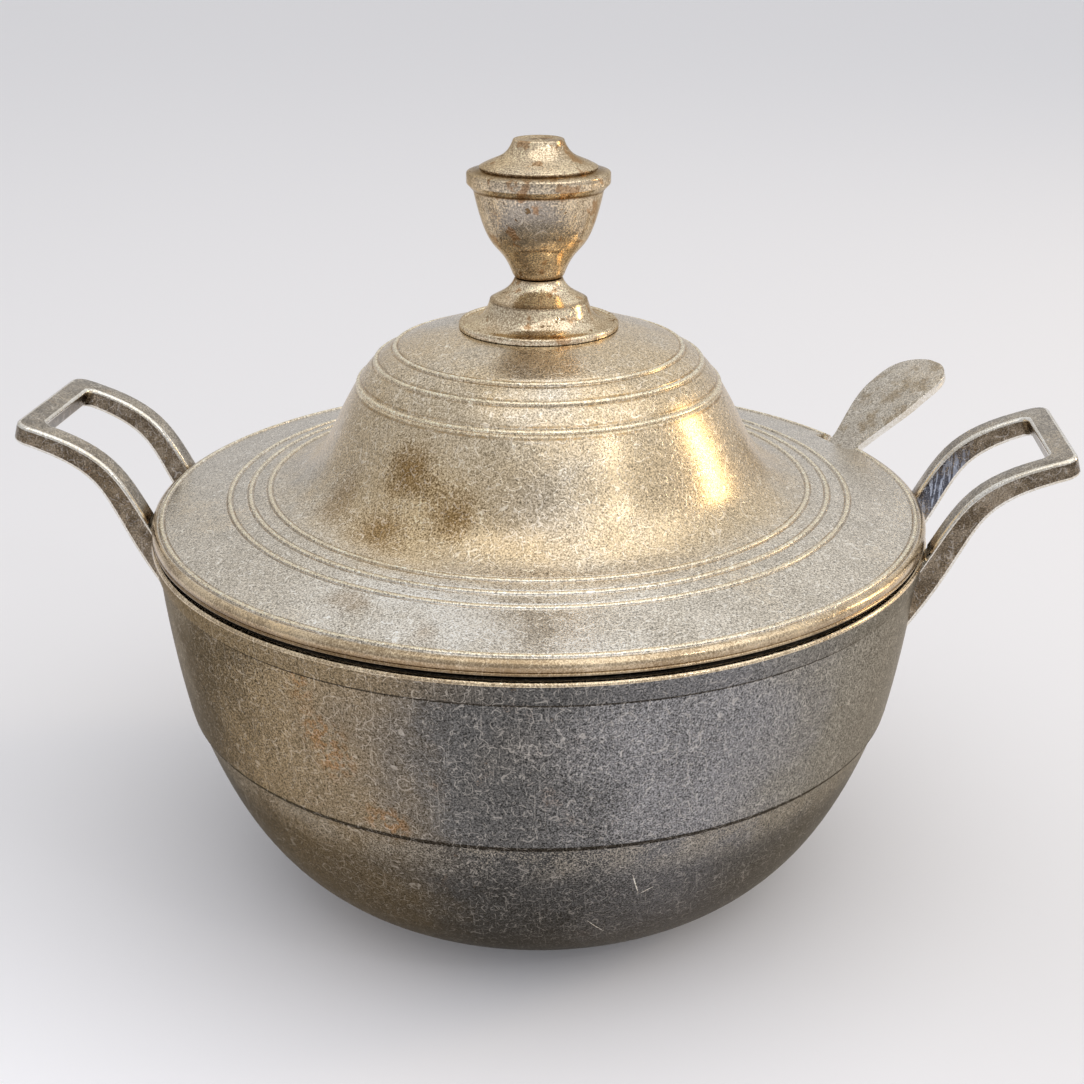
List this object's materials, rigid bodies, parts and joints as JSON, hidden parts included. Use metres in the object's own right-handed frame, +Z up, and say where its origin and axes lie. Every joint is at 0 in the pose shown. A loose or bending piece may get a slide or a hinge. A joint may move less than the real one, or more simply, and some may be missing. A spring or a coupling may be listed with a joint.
{
  "type": "soup tureen",
  "caption": "Round lidded serving bowl with loop handles, a domed lid with an urn knob, and a ladle whose handle comes out through a notch in the lid's edge.",
  "frame": {"origin": "middle of the flat underside, where the bowl stands on the table", "axes": "+Z up along the axis of the bowl and the lid, +X towards the right handle, front at -Y"},
  "size_m": [0.3312, 0.25, 0.2456],
  "materials": {
    "pewter_bowl": "worn satin pewter with fine all-over scratches",
    "pewter_rim": "worn satin pewter with fine all-over scratches, golden where rubbed",
    "pewter_handle": "worn satin pewter with fine all-over scratches, bright along the edges",
    "pewter_lid": "worn satin pewter with fine all-over scratches, with brown stains",
    "pewter_finial": "worn satin pewter with fine all-over scratches, golden and pitted",
    "pewter_ladle": "worn satin pewter with fine all-over scratches",
    "steel_fixing": "plain steel"
  },
  "bodies": {
    "bowl": {"bowl_lower": "pewter_bowl", "bowl_wall": "pewter_bowl", "bowl_rim_band": "pewter_rim", "handle_left": "pewter_handle", "handle_right": "pewter_handle"},
    "lid": {"lid_shell": "pewter_lid", "lid_collar": "pewter_lid", "finial_base": "pewter_finial", "finial_urn": "pewter_finial", "finial_stud": "steel_fixing", "finial_washer": "steel_fixing", "finial_nut": "steel_fixing"},
    "ladle": {"ladle_handle": "pewter_ladle", "ladle_cup": "pewter_ladle"}
  },
  "joints": [
    {"name": "lid_lift", "type": "slide", "parent": "bowl", "child": "lid", "axis": [0, 0, 1], "range_m": [0, 0.3]},
    {"name": "ladle_lift", "type": "slide", "parent": "bowl", "child": "ladle", "axis": [0, 0, 1], "range_m": [0, 0.15]}
  ],
  "couplings": [
    {"joint": "ladle_lift", "follows": "lid_lift", "ratio": 0.5}
  ]
}
